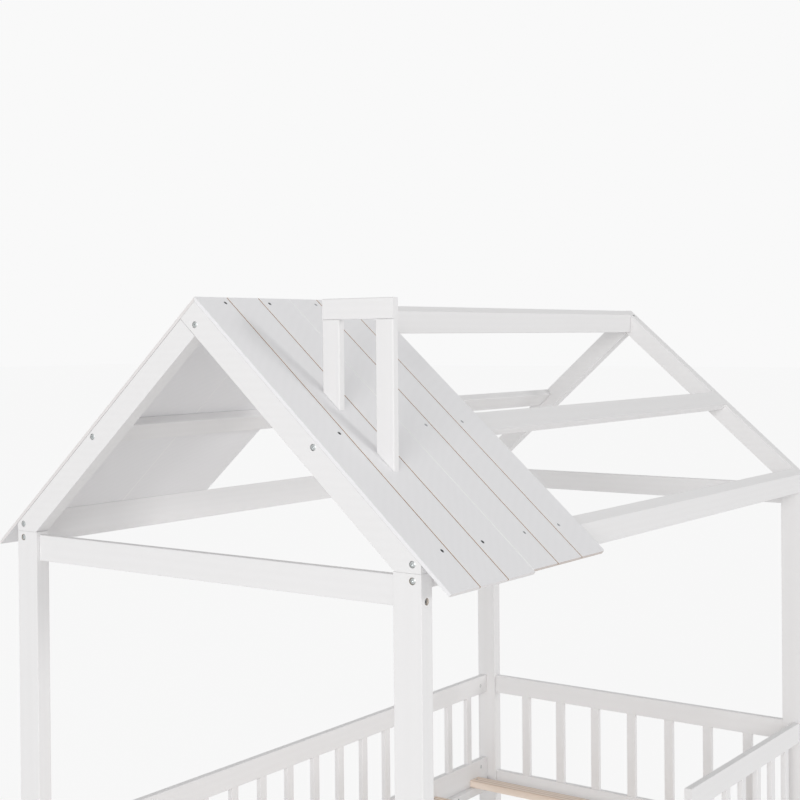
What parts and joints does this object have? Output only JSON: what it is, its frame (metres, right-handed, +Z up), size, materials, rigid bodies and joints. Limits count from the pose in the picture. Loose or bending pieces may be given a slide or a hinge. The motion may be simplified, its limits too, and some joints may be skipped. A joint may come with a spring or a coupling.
{
  "type": "house bed",
  "caption": "Child's house bed: pine posts and rafters shaped like a small house, boarded roof over one end, open chimney frame, slatted fences, open entry on the front, slatted bed base.",
  "frame": {"origin": "on the floor, midway between the four posts", "axes": "X along the bed from the roofed end to the other end, Y from the open front to the back, Z up"},
  "size_m": [1.66, 0.9608, 1.4627],
  "materials": {
    "white_lacquered_pine": "satin white lacquer on pine",
    "white_lacquered_board": "matt white lacquer on board",
    "raw_pine": "planed pine without lacquer",
    "zinc_plated_steel": "zinc plated"
  },
  "bodies": {
    "root": {"back_fence": "white_lacquered_pine", "bed_slat_1": "raw_pine", "bed_slat_2": "raw_pine", "bed_slat_3": "raw_pine", "bed_slat_4": "raw_pine", "bed_slat_5": "raw_pine", "bed_slat_6": "raw_pine", "bed_slat_7": "raw_pine", "bed_slat_8": "raw_pine", "chimney_cap": "white_lacquered_pine", "chimney_leg_high": "white_lacquered_pine", "chimney_leg_low": "white_lacquered_pine", "cleat_back": "white_lacquered_pine", "cleat_front": "white_lacquered_pine", "eave_beam_back": "white_lacquered_pine", "eave_beam_front": "white_lacquered_pine", "end_rail_far": "white_lacquered_pine", "end_rail_near": "white_lacquered_pine", "far_fence": "white_lacquered_pine", "foot_bolt_far_back": "zinc_plated_steel", "foot_bolt_far_front": "zinc_plated_steel", "foot_bolt_near_back": "zinc_plated_steel", "foot_bolt_near_front": "zinc_plated_steel", "front_fence": "white_lacquered_pine", "front_fence_stile": "white_lacquered_pine", "near_fence": "white_lacquered_pine", "post_bolt_far_back": "zinc_plated_steel", "post_bolt_far_front": "zinc_plated_steel", "post_bolt_near_back": "zinc_plated_steel", "post_bolt_near_front": "zinc_plated_steel", "post_far_back": "white_lacquered_pine", "post_far_front": "white_lacquered_pine", "post_near_back": "white_lacquered_pine", "post_near_front": "white_lacquered_pine", "purlin_back": "white_lacquered_pine", "purlin_bolt_far_back": "zinc_plated_steel", "purlin_bolt_far_front": "zinc_plated_steel", "purlin_bolt_near_back": "zinc_plated_steel", "purlin_bolt_near_front": "zinc_plated_steel", "purlin_front": "white_lacquered_pine", "rafter_far_back": "white_lacquered_pine", "rafter_far_front": "white_lacquered_pine", "rafter_near_back": "white_lacquered_pine", "rafter_near_front": "white_lacquered_pine", "ridge_beam": "white_lacquered_pine", "ridge_bolt_far": "zinc_plated_steel", "ridge_bolt_near": "zinc_plated_steel", "roof_panel_back_far": "white_lacquered_board", "roof_panel_back_near": "white_lacquered_board", "roof_panel_front_far": "white_lacquered_board", "roof_panel_front_near": "white_lacquered_board", "side_rail_back": "white_lacquered_pine", "side_rail_front": "white_lacquered_pine", "tie_bolt_far_back": "zinc_plated_steel", "tie_bolt_far_front": "zinc_plated_steel", "tie_bolt_near_back": "zinc_plated_steel", "tie_bolt_near_front": "zinc_plated_steel", "tie_far": "white_lacquered_pine", "tie_near": "white_lacquered_pine"}
  },
  "joints": []
}
